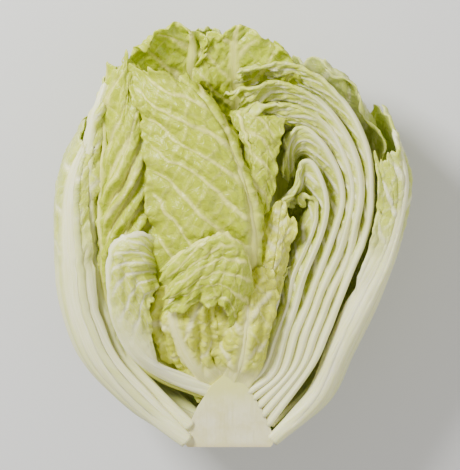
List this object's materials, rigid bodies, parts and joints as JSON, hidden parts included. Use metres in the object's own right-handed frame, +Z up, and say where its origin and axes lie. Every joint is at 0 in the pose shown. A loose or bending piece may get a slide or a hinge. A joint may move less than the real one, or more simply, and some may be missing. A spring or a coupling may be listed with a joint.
{
  "type": "napa cabbage",
  "caption": "Halved head of napa cabbage with nested crinkled leaves and white ribs, lying on its rounded back with the cut side up.",
  "frame": {"origin": "on the surface the head lies on, under the middle of its box", "axes": "+Z up out of the cut side, +Y from the cut stump to the leaf tips"},
  "size_m": [0.2134, 0.2666, 0.1139],
  "materials": {
    "rib": "moist cream-white leaf ribs with fine lengthwise grooves",
    "blade": "crinkled pale yellow-green leaf blade with a soft sheen",
    "heart": "pale yellow crinkled heart leaf",
    "stump": "cut cream-white stump with a dull face"
  },
  "bodies": {
    "root": {"arched_leaf_1": "rib", "arched_leaf_2": "rib", "arched_leaf_3": "rib", "arched_leaf_4": "rib", "arched_leaf_5": "rib", "arched_leaf_6": "rib", "arched_leaf_7": "rib", "back_leaf": "rib", "back_right_leaf": "rib", "centre_leaf": "blade", "draped_leaf": "blade", "folded_leaf": "blade", "heart_tip": "heart", "hood_leaf": "blade", "inner_left_leaf": "rib", "left_leaf": "rib", "loose_leaf": "rib", "lower_heart_leaf_left": "heart", "lower_heart_leaf_right": "heart", "outer_left_leaf": "rib", "stump": "stump", "top_left_tip": "blade", "top_right_tip": "blade"}
  },
  "joints": []
}
